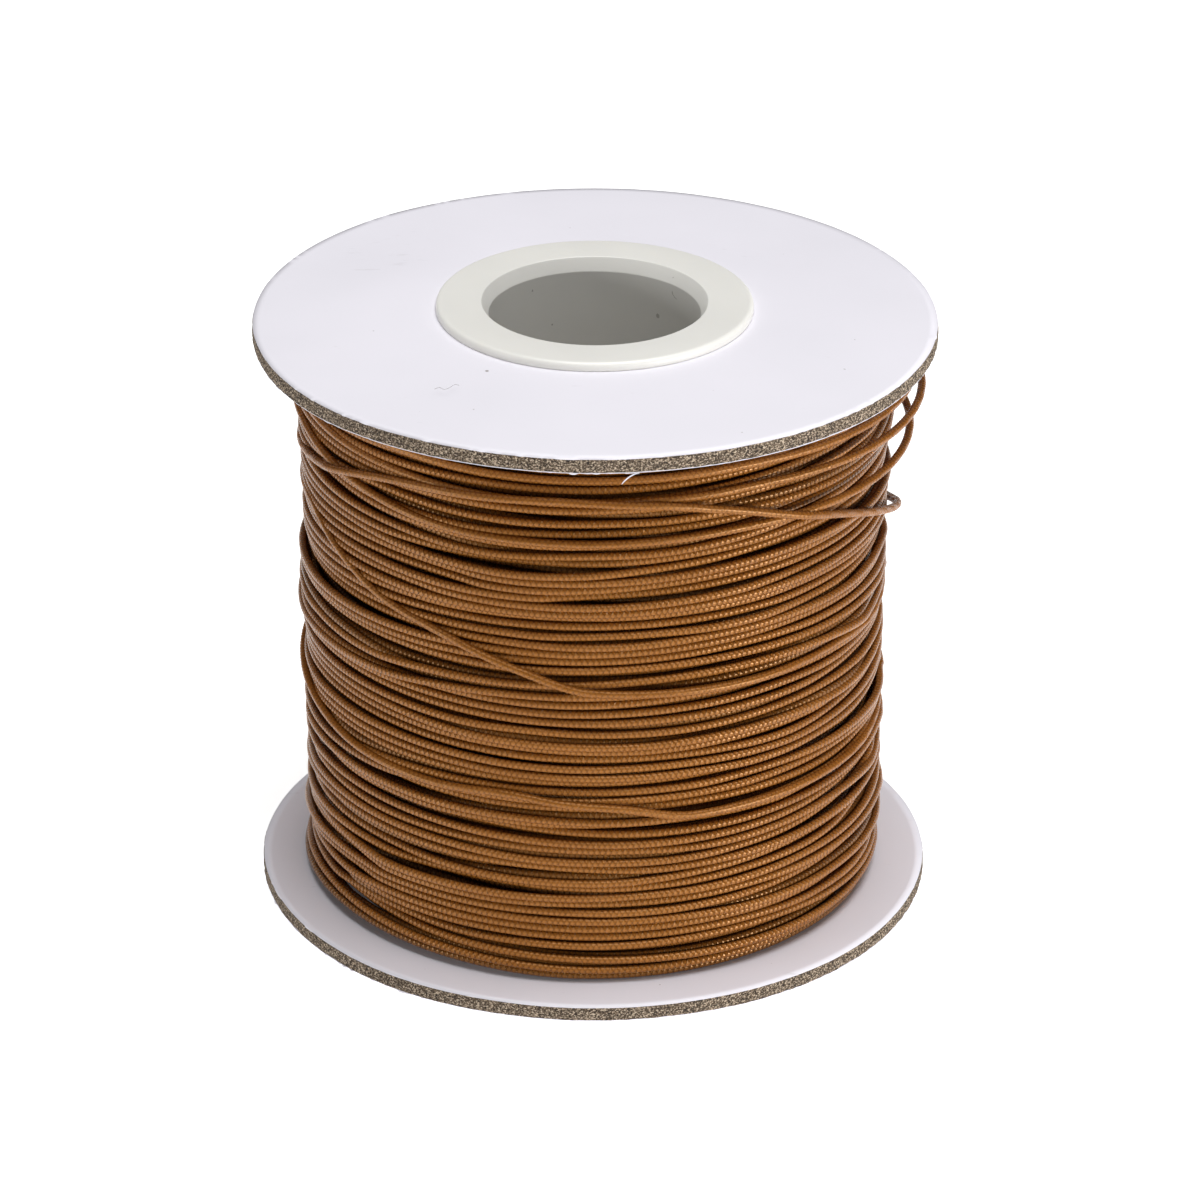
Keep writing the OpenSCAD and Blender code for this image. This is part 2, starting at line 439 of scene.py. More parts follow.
# %% Let a few turns come loose on the left and at the back
loose_places = [(34.5, 178, 0.4), (33.4, 184, 0.25), (44, 120, 0.35), (20, 100, 0.3), (52, 80, 0.3)]
for height, angle_deg, away_mm in loose_places:
    middle = angle_deg / 360 * stations
    outer_turns = np.arange(turn_total - turns_per_layer, turn_total)
    turn = outer_turns[np.abs(turn_z[outer_turns, int(middle)] - height).argmin()]
    away = (np.arange(stations) - middle + stations / 2) % stations - stations / 2
    turn_r[turn] += away_mm * np.exp(-0.5 * (away / 9) ** 2)


# %% [markdown]
# ## From centre lines to cord
#
# A centre line becomes a tube: a ring of points at every step, joined to the
# next ring. Rings are built by NumPy and handed to Blender in one go, because
# a curve object with a bevel can't carry the two maps that the cord needs. The
# map called "cord" tells the braid how far along and how far round each point
# is. The other lays the cord out in straight rows, so that its colours can be
# baked without thousands of scraps.

# %% Make a mesh object from points and faces
def new_mesh(name, points, quads, caps=(), smooth=True):
    """An object from points in millimetres and four-sided faces, with optional many-sided caps."""
    mesh = bpy.data.meshes.new(name)
    loops = np.concatenate([quads.ravel()] + [np.asarray(cap) for cap in caps])
    sizes = np.concatenate([np.full(len(quads), 4)] + [[len(cap)] for cap in caps]).astype(np.int32)
    mesh.vertices.add(len(points))
    mesh.vertices.foreach_set("co", (points * MM).astype(np.float32).ravel())
    mesh.loops.add(len(loops))
    mesh.loops.foreach_set("vertex_index", loops.astype(np.int32))
    mesh.polygons.add(len(sizes))
    mesh.polygons.foreach_set("loop_start", np.concatenate([[0], np.cumsum(sizes)[:-1]]).astype(np.int32))
    mesh.polygons.foreach_set("loop_total", sizes)
    mesh.polygons.foreach_set("use_smooth", np.full(len(sizes), smooth))
    mesh.update(calc_edges=True)
    thing = bpy.data.objects.new(name, mesh)
    bpy.context.collection.objects.link(thing)
    return thing


# %% Join rings of points into a closed skin
def ring_skin(name, rings, smooth=True):
    """A solid of revolution from a closed loop of rings, each an array of points round the axis."""
    rings = np.asarray(rings)
    row_count, count = rings.shape[:2]
    row = np.arange(row_count)[:, None]
    column = np.arange(count)[None, :]
    next_row, next_column = (row + 1) % row_count, (column + 1) % count
    quads = np.stack([
        row * count + column, row * count + next_column,
        next_row * count + next_column, next_row * count + column,
    ], axis=-1).reshape(-1, 4)
    return new_mesh(name, rings.reshape(-1, 3), quads, smooth=smooth)


def ring(radius, z, count):
    """Points round the axis. The radius and the height may be arrays."""
    angle = 2 * np.pi * np.arange(count) / count
    return np.stack([radius * np.cos(angle), radius * np.sin(angle), z + 0 * angle], axis=-1)


# %% Turn a centre line into a tube of cord
bake_row_mm = 110        # length of cord in one row of the second map
drawn_r = 0.438          # pulled tight, the cord is a little thinner than where it is slack


def ring_directions(centre, sides):
    """Directions from each point of a centre line to the points of its ring, and lengths along the line."""
    ahead = np.gradient(centre, axis=0)
    ahead /= np.linalg.norm(ahead, axis=1, keepdims=True)
    outward = centre * np.array([1, 1, 0])
    outward /= np.linalg.norm(outward, axis=1, keepdims=True)
    upward = np.cross(outward, ahead)
    upward /= np.linalg.norm(upward, axis=1, keepdims=True)
    outward = np.cross(ahead, upward)
    turn = 2 * np.pi * np.arange(sides) / sides
    spread = np.cos(turn)[None, :, None] * outward[:, None] + np.sin(turn)[None, :, None] * upward[:, None]
    steps = np.linalg.norm(np.diff(centre, axis=0), axis=1)
    return spread, np.concatenate([[0], np.cumsum(steps)])


def cord_tube(name, centre, cord_r, sides=12, relief=None, start_mm=0.0):
    """A closed tube of cord, with its two maps."""
    spread, along_mm = ring_directions(centre, sides)
    along_mm = along_mm + start_mm
    radius = np.full((len(centre), sides), cord_r)
    if relief is not None:
        radius = radius + relief(along_mm[:, None], np.arange(sides)[None, :] / sides)
    points = (centre[:, None] + radius[:, :, None] * spread).reshape(-1, 3)
    ring = np.arange(len(centre) - 1)[:, None]
    side = np.arange(sides)[None, :]
    here, there, after = ring * sides, (ring + 1) * sides, (side + 1) % sides
    quads = np.stack([here + side, here + after, there + after, there + side], axis=-1).reshape(-1, 4)
    caps = [np.arange(sides)[::-1], (len(centre) - 1) * sides + np.arange(sides)]
    tube = new_mesh(name, points, quads, caps)

    u = np.broadcast_to(along_mm[:-1, None], (len(ring), sides))
    u_next = np.broadcast_to(along_mm[1:, None], (len(ring), sides))
    v = np.broadcast_to(side / sides, (len(ring), sides))
    u_loops = np.stack([u, u, u_next, u_next], axis=-1)
    v_loops = np.stack([v, v + 1 / sides, v + 1 / sides, v], axis=-1)
    end = np.zeros(2 * sides)
    row = np.floor((u_loops[:, :, :1] - along_mm[0]) / bake_row_mm)
    row_u = ((u_loops - along_mm[0]) / bake_row_mm - row) * 0.99
    row_v = (row + 0.06 + 0.88 * v_loops) / (row.max() + 1)
    maps = {"cord": (u_loops * MM, v_loops), "OFBake": (row_u, row_v)}
    for map_name, (across, up) in maps.items():
        pairs = np.stack([np.concatenate([across.ravel(), end]), np.concatenate([up.ravel(), end])], axis=-1)
        tube.data.uv_layers.new(name=map_name).data.foreach_set("uv", pairs.astype(np.float32).ravel())
    return tube


# %% Tubes for the layers
def centre_line(z, r, first_station=0):
    """Points of a stretch of cord from its heights and radii, one per station."""
    angle = station_angle[(first_station + np.arange(len(z))) % stations]
    return np.stack([r * np.cos(angle), r * np.sin(angle), z], axis=-1)


layer_pieces = []
all_z, all_r = turn_z.ravel(), turn_r.ravel()
turns_per_piece = math.ceil(turns_per_layer / 2)
for layer in range(1, layer_count):
    for part in range(2):
        first = (layer * turns_per_layer + part * turns_per_piece) * stations
        last = min(first + turns_per_piece * stations, (layer + 1) * turns_per_layer * stations)
        stretch = slice(first, min(last + 1, len(all_z)))
        end_name = "low" if (part == 0) == (layer % 2 == 0) else "high"
        tube = cord_tube(
            f"cord_layer_{layer}_{end_name}",
            centre_line(all_z[stretch], all_r[stretch]),
            drawn_r,
            sides=12 if layer >= layer_count - 2 else 8,
        )
        layer_pieces.append(tube)
print("layers:", {piece.name: len(piece.data.polygons) for piece in layer_pieces})


# %% [markdown]
# Between two turns a thin line of sight can reach past every layer that was
# laid. So the wound cord under them is one more body: a roll with a ripple for
# each turn, painted darker than the cord as shade, which shows as dark cord.

# %% The roll under the laid turns
roll_r = turn_r[turns_per_layer:2 * turns_per_layer].mean() - 0.35
core_r = node_size("core_tube")[1][0]
roll_z = np.arange(wound_z0 + 0.1, wound_z1 - 0.1, 0.13)
ripple = 0.25 * np.abs(np.sin(np.pi * (roll_z - wound_z0) / turn_pitch)) - 0.15
inner_roll = ring_skin("cord_inner_roll", [
    ring(r, z, 180) for r, z in [*zip(roll_r + ripple, roll_z), (core_r, roll_z[-1]), (core_r, roll_z[0])]
])
print(f"the roll under the laid turns reaches radius {roll_r:.1f} mm")


# %% [markdown]
# ## Braid in relief
#
# The cord is braided from fine strands that go round it both ways. The last
# turns stand clear of the roll, where their outline shows, so their strands are
# real relief: the ring's points move in and out with the weave. In braid
# coordinates the strands are straight. One family lies along a rising diagonal
# and the other along a falling one. The whole parts of the two diagonals tell
# which strand is on top, and the fractions tell where on the strand a point is.

# %% The weave as a height
strand_pitch = 0.62      # millimetres of cord from one strand to the next of its family
strands_each_way = 3
strand_relief = 0.12


def weave(along_mm, around):
    """Height of the braid, 0 to 1, at a length along the cord and a part of a turn round it."""
    rising = around * strands_each_way + along_mm / strand_pitch
    falling = around * strands_each_way - along_mm / strand_pitch
    crown = [1 - np.abs(2 * (diagonal % 1) - 1) ** 5 for diagonal in (rising, falling)]
    falling_on_top = (np.floor(rising) + np.floor(falling)) % 2 == 1
    top = np.where(falling_on_top, crown[1], crown[0])
    under = np.where(falling_on_top, crown[0], crown[1])
    return top * (0.65 + 0.35 * under)


def braid_relief(along_mm, around):
    return strand_relief * (weave(along_mm, around) - 0.75)


# %% Tubes for the last turns
fine_step = 0.12
last_line = np.stack([last_r * np.cos(last_angle), last_r * np.sin(last_angle), last_z], axis=-1)
steps = np.linalg.norm(np.diff(last_line, axis=0), axis=1)
last_along = np.concatenate([[0], np.cumsum(steps)])
fine_along = np.arange(0, last_along[-1], fine_step)


def along_curve(x):
    """Points at lengths x along the last turns, on a smooth curve through their stations."""
    i = np.clip(np.searchsorted(last_along, x, side="right") - 1, 0, len(steps) - 1)
    t = ((x - last_along[i]) / steps[i])[:, None]
    tangent = np.gradient(last_line, last_along, axis=0)
    start, end = last_line[i], last_line[i + 1]
    lean_in, lean_out = tangent[i] * steps[i][:, None], tangent[i + 1] * steps[i][:, None]
    return (
        (2 * t ** 3 - 3 * t ** 2 + 1) * start + (t ** 3 - 2 * t ** 2 + t) * lean_in
        + (3 * t ** 2 - 2 * t ** 3) * end + (t ** 3 - t ** 2) * lean_out
    )


fine_line = along_curve(fine_along)
fine_angle = np.interp(fine_along, last_along, np.degrees(last_angle))
last_pieces = {
    "cord_slack_top": (-400, 180),
    "cord_slack_middle": (180, 540),
    "cord_slack_low": (540, 3 * 360 - 180),
    "cord_stray": (3 * 360 - 180, 3 * 360 + 180),
    "cord_crossing": (4 * 360 - 180, 4 * 360 + 180),
    "cord_last_turn": (4 * 360 + 180, 9999),
}
for name, (from_angle, to_angle) in last_pieces.items():
    inside = np.flatnonzero((fine_angle >= from_angle) & (fine_angle <= to_angle))
    stretch = slice(inside[0], min(inside[-1] + 2, len(fine_line)))
    last_pieces[name] = cord_tube(name, fine_line[stretch], drawn_r, 16, braid_relief, fine_along[stretch][0])
print(f"last turns: {fine_along[-1] / 1000:.2f} m of cord in {len(fine_along)} rings")


# %% [markdown]
# ## The flanges
#
# A flange is a sandwich: grey board in the middle with white paper glued on
# both faces, cut out in one stroke of a ring-shaped knife. The cut decides how
# it looks. The board's edge is not a clean cylinder: the layers of waste-paper
# fibre tear a little, so it is pitted and has shallow lines round it. The knife
# also leaves a slightly uneven outline, and tears the paper on its way out, so
# small tufts of white hang from the lower edge.
#
# A bevelled cylinder would be easy but too clean at this distance. So the
# board's edge is a fine grid that noise pushes in and out, and each paper is a
# thin sheet with a ragged rim of its own.

# %% Noise round a ring
def ring_noise(count, width, seed_rows=1):
    """Smooth random values round a closed ring, one row per seed row, spread 1."""
    rows = smooth_rows(random.normal(size=(count, seed_rows)), width, mode="wrap")
    return (rows / rows.std(axis=0)).T


def flange_outline(count):
    """How far the knife's cut is from a true circle, in millimetres."""
    angle = 2 * np.pi * np.arange(count) / count
    slow = sum(
        size * np.cos(lobes * angle + random.uniform(0, 2 * np.pi))
        for lobes, size in ((2, 0.06), (3, 0.05), (5, 0.035), (8, 0.02), (13, 0.012))
    )
    return slow + 0.012 * ring_noise(count, 9)[0]


# %% Where each layer of a flange lies
edge_count = 1800
sleeve_r = 13.25
rim_r = node_size("upper_hub_bush")[1][0]


class FlangeLayer:
    """A board or paper of a flange. The upper flange is dished: its edge is lower than its middle."""

    def __init__(self, node):
        low, high = node_size(node)
        flat_low, flat_high = node_size(node.replace("upper", "lower"))
        self.thick = flat_high[2] - flat_low[2]
        self.outer, self.low_z = high[0], low[2]
        self.dish = high[2] - low[2] - self.thick

    def under(self, radius):
        """Height of its lower face at a radius."""
        slope = (self.outer - np.asarray(radius)) / (self.outer - rim_r)
        return self.low_z + self.dish * np.minimum(slope, 1)

    def ring(self, radius, up=0.0, extra=0.0):
        """A ring at a radius and a part 'up' of the thickness. The extra radius doesn't change its height."""
        return ring(radius + extra, self.under(radius) + up * self.thick, edge_count)


print(f"the upper flange is dished by {FlangeLayer('upper_flange_board').dish:.2f} mm")


# %% The grey boards
def grey_board(name, node, outline):
    """A ring of board with a torn, pitted outer edge."""
    layer = FlangeLayer(node)
    rows = 13
    pits = random.normal(size=(edge_count, rows))
    pits = smooth_rows(smooth_rows(pits, 2.2, mode="wrap").T, 0.7).T
    pits = 0.035 * pits / pits.std()
    tears = smooth_rows(random.normal(size=(edge_count, rows)), 14, mode="wrap")
    tears = 0.018 * tears / tears.std()
    depth = np.minimum(pits, 0.03) + tears
    face = [sleeve_r, rim_r, 24, 31, 36.5]
    rings = [layer.ring(radius) for radius in face]
    for row in range(rows):
        part = row / (rows - 1)
        bulge = 0.05 * math.sin(math.pi * part) - 0.04
        rings.append(layer.ring(layer.outer, part, outline + bulge + depth[:, row]))
    rings += [layer.ring(radius, 1) for radius in reversed(face)]
    return ring_skin(name, rings)


outlines = {"upper": flange_outline(edge_count), "lower": flange_outline(edge_count)}
boards = {
    which: grey_board(f"board_{which}", f"{which}_flange_board", outlines[which])
    for which in ("upper", "lower")
}
print("boards:", [piece.name for piece in boards.values()])


# %% The papers
def flange_paper(name, node, outline, ragged, hang):
    """A thin ring of paper. Ragged tufts of its rim stick out by up to 'ragged' and hang by up to 'hang'."""
    layer = FlangeLayer(node)
    outer = layer.outer
    tufts = np.maximum(ring_noise(edge_count, 2.0)[0] - 0.6, 0)
    tufts = tufts + np.maximum(ring_noise(edge_count, 5.0)[0] - 1.1, 0)
    patches = np.clip(ring_noise(edge_count, 30)[0] + 0.6, 0, 1.6)
    tufts = np.minimum(tufts * patches, 2.2) / 2.2
    sag = -hang * tufts / layer.thick
    rings = [layer.ring(radius) for radius in (sleeve_r, rim_r, 30, 37)]
    rings += [
        layer.ring(outer, 0.3 * sag, outline - 0.1),
        layer.ring(outer, sag, outline - 0.08 + (0.08 + ragged) * tufts),
        layer.ring(outer, sag * 0.8 + 0.4, outline - 0.07 + (0.08 + ragged) * tufts),
        layer.ring(outer, 1 + 0.2 * sag, outline - 0.04),
    ]
    rings += [layer.ring(radius, 1) for radius in (37, 30, rim_r, sleeve_r)]
    return ring_skin(name, rings)


papers = {
    "upper_outer": (0.01, 0.0), "upper_inner": (0.04, 0.10),
    "lower_outer": (0.03, 0.12), "lower_inner": (0.01, 0.03),
}
for which, (ragged, hang) in papers.items():
    end_name, face = which.split("_")
    papers[which] = flange_paper(
        f"paper_{which}", f"{end_name}_flange_{face}_paper", outlines[end_name], ragged, hang)
print("papers:", [piece.name for piece in papers.values()])


# %% [markdown]
# One shred of paper hangs from the front of the upper flange. It is a narrow
# ribbon that leaves the edge sideways and bends down, as torn paper does.

# %% A curled shred of paper
def paper_shred(name, angle_deg, length, width, curl, top_z):
    """A ribbon that leaves the rim sideways and bends down."""
    count = 28
    part = np.linspace(0, 1, count)
    heading = math.radians(170) + curl * part ** 0.7
    step = length / (count - 1)
    along = np.concatenate([[0], np.cumsum(np.cos(heading[:-1]) * step)])
    down = np.concatenate([[0], np.cumsum(np.sin(heading[:-1]) * step)])
    out = 0.05 + 0.25 * np.sin(part * 2.6)
    half = width / 2 * (0.35 + 0.65 * np.sin(np.pi * np.clip(part, 0.03, 0.97)) ** 0.5)
    angle = math.radians(angle_deg)
    outward = np.array([math.cos(angle), math.sin(angle), 0])
    sideways = np.array([-math.sin(angle), math.cos(angle), 0])
    edge_r = node_size("upper_flange_board")[1][0]
    spine = (
        (edge_r + out)[:, None] * outward + along[:, None] * sideways
        + (top_z + down)[:, None] * np.array([0, 0, 1])
    )
    ahead = np.gradient(spine, axis=0)
    ahead /= np.linalg.norm(ahead, axis=1, keepdims=True)
    across = np.cross(outward, ahead)
    thick = 0.05 * np.cross(ahead, across)
    across = across * half[:, None]
    near, far = spine - across, spine + across
    corners = np.stack([near - thick, far - thick, far + thick, near + thick], 1)
    row = np.arange(count - 1)[:, None] * 4
    side = np.arange(4)[None, :]
    quads = np.stack([row + side, row + (side + 1) % 4, row + 4 + (side + 1) % 4, row + 4 + side], axis=-1)
    caps = [np.arange(4)[::-1], 4 * (count - 1) + np.arange(4)]
    return new_mesh(name, corners.reshape(-1, 3), quads.reshape(-1, 4), caps)


shred = paper_shred(
    "paper_shred", angle_deg=-82.8, length=2.3, width=0.11, curl=1.25,
    top_z=node_size("upper_flange_inner_paper")[0][2] - 0.05)


# %% [markdown]
# ## The bushes and the core
#
# Each bush is one plastic moulding: a sleeve that holds the card core, and a
# flat rim with softly rounded edges that holds the flange on. It is turned from
# a profile, as on a lathe. The profile's corners are short arcs, because it is
# the rounding that catches the light on moulded plastic.

# %% Profile helpers
def rounded(corners, arc_points=6):
    """A closed outline from (radius, height, rounding) corners."""
    outline = []
    for i, (x, y, size) in enumerate(corners):
        here = np.array([x, y])
        before = np.array(corners[i - 1][:2]) - here
        after = np.array(corners[(i + 1) % len(corners)][:2]) - here
        start = here + before / np.linalg.norm(before) * size
        end = here + after / np.linalg.norm(after) * size
        for t in np.linspace(0, 1, arc_points):
            outline.append((1 - t) ** 2 * start + 2 * t * (1 - t) * here + t ** 2 * end)
    return np.array(outline)


def lathe(name, outline, count=256):
    return ring_skin(name, [ring(radius, z, count) for radius, z in outline])


# %% Bushes
def hub_bush(name, node, rim_up):
    low, high = node_size(node)
    rim_r = high[0]
    length = high[2] - low[2]
    bore_r, rim_t, mouth_w, mouth_deep = 11.75, 1.0, 0.8, 1.5
    corners = [
        (bore_r, 0, 0.15), (sleeve_r, 0, 0.3), (sleeve_r, length - rim_t, 0.02),
        (rim_r, length - rim_t, 0.15), (rim_r, length, 0.6),
        (bore_r + mouth_w, length, 0.12), (bore_r, length - mouth_deep, 0.1),
    ]
    outline = rounded(corners)
    base = low[2] if rim_up else high[2]
    outline[:, 1] = base + (outline[:, 1] if rim_up else -outline[:, 1])
    return lathe(name, outline)


bushes = {
    "upper": hub_bush("bush_upper", "upper_hub_bush", True),
    "lower": hub_bush("bush_lower", "lower_hub_bush", False),
}
print("bush rims reach", [round(node_size(f"{which}_hub_bush")[1][0], 2) for which in bushes], "mm")


# %% Core tube, wound from card in a spiral
def card_core(name):
    low, high = node_size("core_tube")
    count, rows = 240, 90
    angle = 2 * np.pi * np.arange(count) / count
    heights = np.linspace(low[2], high[2], rows)
    rings = []
    for radius, order in ((high[0], heights), (sleeve_r, heights[::-1])):
        for z in order:
            seam = (angle / (2 * np.pi) + z / 38) % 1
            step = 0.12 * np.exp(-((seam - 0.5) / 0.012) ** 2)
            rings.append(ring(radius - step if radius > sleeve_r else radius + 0.4 * step, z, count))
    return ring_skin(name, rings)


core = card_core("card_core")


# %% [markdown]
# Two dark hairs of lint cling to the mouth of the upper bush, at the back, and
# a short one lies on the upper flange. Each is a very thin tube along a bent
# line, with its points measured down from the top of the bush.

# %% Lint hairs
def hair(name, points, thick=0.05, sides=6):
    knots = np.array(points, float) + np.array([0, 0, node_size("upper_hub_bush")[1][2]])
    x = np.linspace(0, len(knots) - 1, 12 * len(knots))
    line = np.stack([np.interp(x, np.arange(len(knots)), column) for column in knots.T], axis=-1)
    line = smooth_rows(line, 3)
    ahead = np.gradient(line, axis=0)
    ahead /= np.linalg.norm(ahead, axis=1, keepdims=True)
    side_a = np.cross(ahead, np.array([0.3, 0.2, 0.93]))
    side_a /= np.linalg.norm(side_a, axis=1, keepdims=True)
    side_b = np.cross(ahead, side_a)
    turn = 2 * np.pi * np.arange(sides) / sides
    spread = np.cos(turn)[None, :, None] * side_a[:, None] + np.sin(turn)[None, :, None] * side_b[:, None]
    points = (line[:, None] + thick / 2 * spread).reshape(-1, 3)
    row = np.arange(len(line) - 1)[:, None] * sides
    side = np.arange(sides)[None, :]
    after = (side + 1) % sides
    quads = np.stack([row + side, row + after, row + sides + after, row + sides + side], -1)
    caps = [np.arange(sides)[::-1], (len(line) - 1) * sides + np.arange(sides)]
    return new_mesh(name, points, quads.reshape(-1, 4), caps)


lint_pieces = [
    hair("lint_left", [(-2.1, 12.1, -0.9), (-1.8, 12.1, -1.4), (-1.5, 11.9, -1.6), (-1.2, 11.8, -2.4)]),
    hair("lint_right", [
        (8.9, 8.4, -0.6), (9.2, 8.1, -0.8), (9.2, 8.0, -1.3), (8.9, 8.2, -1.5),
        (8.6, 8.4, -1.1), (8.8, 8.4, -0.7), (9.0, 8.1, -1.3), (8.9, 7.8, -1.8),
        (8.6, 8.0, -2.4), (8.9, 7.7, -2.9), (9.4, 7.1, -3.1), (9.9, 6.5, -3.1),
    ]),
    hair("lint_flange", [
        (-17.2, -22.6, -0.86), (-16.6, -22.2, -0.82), (-16.1, -22.8, -0.86), (-15.5, -22.3, -0.82),
        (-15.0, -21.4, -0.80), (-14.5, -21.6, -0.86),
    ], thick=0.03),
]


# %% [markdown]
# ## Finishes
#
# Every finish is built from shader nodes, with no pictures. Typed out in full,
# node trees are long and hard to read. A small helper class lets each finish be
# written as a few lines of ordinary arithmetic.

# %% A helper for building materials
class Finish:
    """Builds a node material a line at a time."""

    def __init__(self, name):
        self.material = bpy.data.materials.new(name)
        self.material.use_nodes = True
        self.nodes = self.material.node_tree.nodes
        self.links = self.material.node_tree.links
        self.shader = self.nodes["Principled BSDF"]

    def add(self, kind, settings=None, **inputs):
        """A new node. Its inputs are given by name, or by number as i0, i1 and so on."""
        node = self.nodes.new("ShaderNode" + kind)
        for key, value in (settings or {}).items():
            setattr(node, key, value)
        for key, value in inputs.items():
            numbered = key[0] == "i" and key[1:].isdigit()
            self.feed(node.inputs[int(key[1:]) if numbered else key], value)
        return node

    def feed(self, socket, value):
        """Link an output to a socket, or set its value."""
        if isinstance(value, str):
            socket = self.shader.inputs[value]
        if hasattr(value, "is_output"):
            self.links.new(value, socket)
        elif hasattr(value, "outputs"):
            self.links.new(value.outputs[0], socket)
        else:
            socket.default_value = value

    def surface(self, **values):
        """Set inputs of the shader, such as Base_Color or Roughness."""
        for key, value in values.items():
            self.feed(self.shader.inputs[key.replace("_", " ")], value)

    def math(self, operation, a, b=0.5, c=0.5):
        return self.add("Math", {"operation": operation}, i0=a, i1=b, i2=c).outputs[0]

    def where(self):
        """The point on the piece. Pieces are modelled in place, so it is also the point in the frame."""
        return self.add("TexCoord").outputs["Object"]

    def stretched(self, x, y, z):
        return self.add("Mapping", Vector=self.where(), Scale=(x, y, z)).outputs[0]

    def noise(self, scale, detail=3.0, roughness=0.5, vector=None):
        node = self.add("TexNoise", Scale=scale, Detail=detail, Roughness=roughness)
        self.feed(node.inputs["Vector"], vector or self.where())
        return node.outputs["Fac"]

    def between(self, value, low, high, to_low=0.0, to_high=1.0):
        """Stretch the part of a value between low and high to a new range."""
        node = self.add("MapRange", {"clamp": True})
        names = ("Value", "From Min", "From Max", "To Min", "To Max")
        for socket_name, given in zip(names, (value, low, high, to_low, to_high)):
            self.feed(node.inputs[socket_name], given)
        return node.outputs["Result"]

    def blend(self, amount, first, second):
        """From the first colour to the second as the amount goes from 0 to 1."""
        return self.add("Mix", {"data_type": "RGBA"}, i0=amount, i6=first, i7=second).outputs[2]

    def bump(self, height, distance, strength=1.0, onto=None):
        node = self.add("Bump", Strength=strength, Distance=distance, Height=height)
        if onto is not None:
            self.feed(node.inputs["Normal"], onto)
        return node.outputs["Normal"]

    def specks(self, scale, size, rarity, vector=None):
        """1 inside small irregular dots: one in each random cell, and only in some of the cells."""
        ragged = self.noise(scale * 3, 2, 0.6)
        cells = self.add("TexVoronoi", Scale=scale)
        self.feed(cells.inputs["Vector"], vector or self.where())
        chance = self.add("SeparateXYZ", Vector=cells.outputs["Color"])
        limit = self.math("MULTIPLY", self.between(chance.outputs["X"], rarity, 1.0, 0.0, size),
                          self.between(ragged, 0.3, 0.7, 0.5, 1.3))
        return self.math("LESS_THAN", cells.outputs["Distance"], limit)


def dress(pieces, finish):
    """Give pieces a finish and fix them to the spool."""
    for piece in pieces:
        piece.data.materials.append(finish.material)
        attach(piece, "root")


# %% [markdown]
# ### Waxed cord
#
# Wax makes the cord a deep orange brown with a soft, broad shine. The hollows
# between the strands are painted darker, as shade; the crowns stay lighter, and
# a cloud of noise wears them unevenly. The weave of the other turns is the same
# formula as for the relief, but as a bump, because relief on tens of metres
# would be too heavy a mesh. The colour drifts slowly along the cord, as it took
# up more or less dye and wax.

# %% The weave in shader nodes
def weave_nodes(finish):
    """The braid's height, and the place along and round the cord."""
    parts = finish.add("SeparateXYZ", Vector=finish.add("UVMap", {"uv_map": "cord"}))
    along = finish.math("DIVIDE", parts.outputs["X"], strand_pitch * MM)
    around = finish.math("MULTIPLY", parts.outputs["Y"], strands_each_way)
    diagonals = [finish.math("ADD", around, along), finish.math("SUBTRACT", around, along)]
    crowns = []
    for diagonal in diagonals:
        centred = finish.math("MULTIPLY_ADD", finish.math("FRACT", diagonal), 2.0, -1.0)
        edge = finish.math("POWER", finish.math("ABSOLUTE", centred), 5.0)
        crowns.append(finish.math("SUBTRACT", 1.0, edge))
    whole = finish.math("ADD", *[finish.math("FLOOR", diagonal) for diagonal in diagonals])
    falling_on_top = finish.math("GREATER_THAN", finish.math("FLOORED_MODULO", whole, 2.0), 0.5)
    dips = [finish.math("MULTIPLY_ADD", crown, 0.35, 0.65) for crown in crowns]
    rising_strand = finish.math("MULTIPLY", crowns[0], dips[1])
    falling_strand = finish.math("MULTIPLY", crowns[1], dips[0])
    over = finish.add("Mix", {"data_type": "FLOAT"}, i0=falling_on_top, i2=rising_strand, i3=falling_strand)
    return over.outputs[0], parts


# shade scales the cord's colours: below 1 it paints shade into them.
def waxed_cord_finish(name, relief_is_real=False, shade=1.0):
    finish = Finish(name)
    height, parts = weave_nodes(finish)
    batch = finish.noise(45, 2, 0.5, finish.add("CombineXYZ", X=parts.outputs["X"]).outputs[0])
    cloud = finish.noise(900, 2, 0.6)
    crown_colours = (0.215, 0.073, 0.010), (0.262, 0.095, 0.015)
    # The second pair of colours is painted shade for the hollows between the strands.
    hollow_shade_colours = (0.065, 0.019, 0.003), (0.085, 0.026, 0.004)
    light, hollow_shade = (
        finish.blend(
            finish.between(batch, 0.3, 0.7), *[tuple(shade * c for c in colour) + (1,) for colour in pair])
        for pair in (crown_colours, hollow_shade_colours)
    )
    # Lighter on the crowns, as wear; darker in the hollows between strands, as painted shade.
    wear_and_hollow_shade = finish.math("MULTIPLY", height, finish.between(cloud, 0.2, 0.8, 0.75, 1.1))
    finish.surface(
        Base_Color=finish.blend(finish.between(wear_and_hollow_shade, 0.1, 0.75), hollow_shade, light),
        Roughness=finish.between(cloud, 0.3, 0.7, 0.19, 0.29),
        Normal=finish.bump(
            height, (0.03 if relief_is_real else 0.075) * MM, 1.0,
            onto=finish.bump(finish.noise(9000, 2, 0.6), 0.012 * MM, 0.6)),
    )
    finish.shader.inputs["Specular Tint"].default_value = (1.0, 0.60, 0.30, 1)
    finish.shader.inputs["Specular IOR Level"].default_value = 0.9
    return finish


def deep_cord_finish(name):
    """The cord deep in the roll, painted dark as shade; no weave is drawn."""
    finish = Finish(name)
    turns = finish.noise(700, 3, 0.6, finish.stretched(0.3, 0.3, 1.5))
    finish.surface(
        Base_Color=finish.blend(turns, (0.05, 0.016, 0.002, 1), (0.13, 0.045, 0.006, 1)),
        Roughness=finish.between(turns, 0.3, 0.7, 0.4, 0.6),
        Normal=finish.bump(turns, 0.05 * MM, 0.6),
    )
    return finish


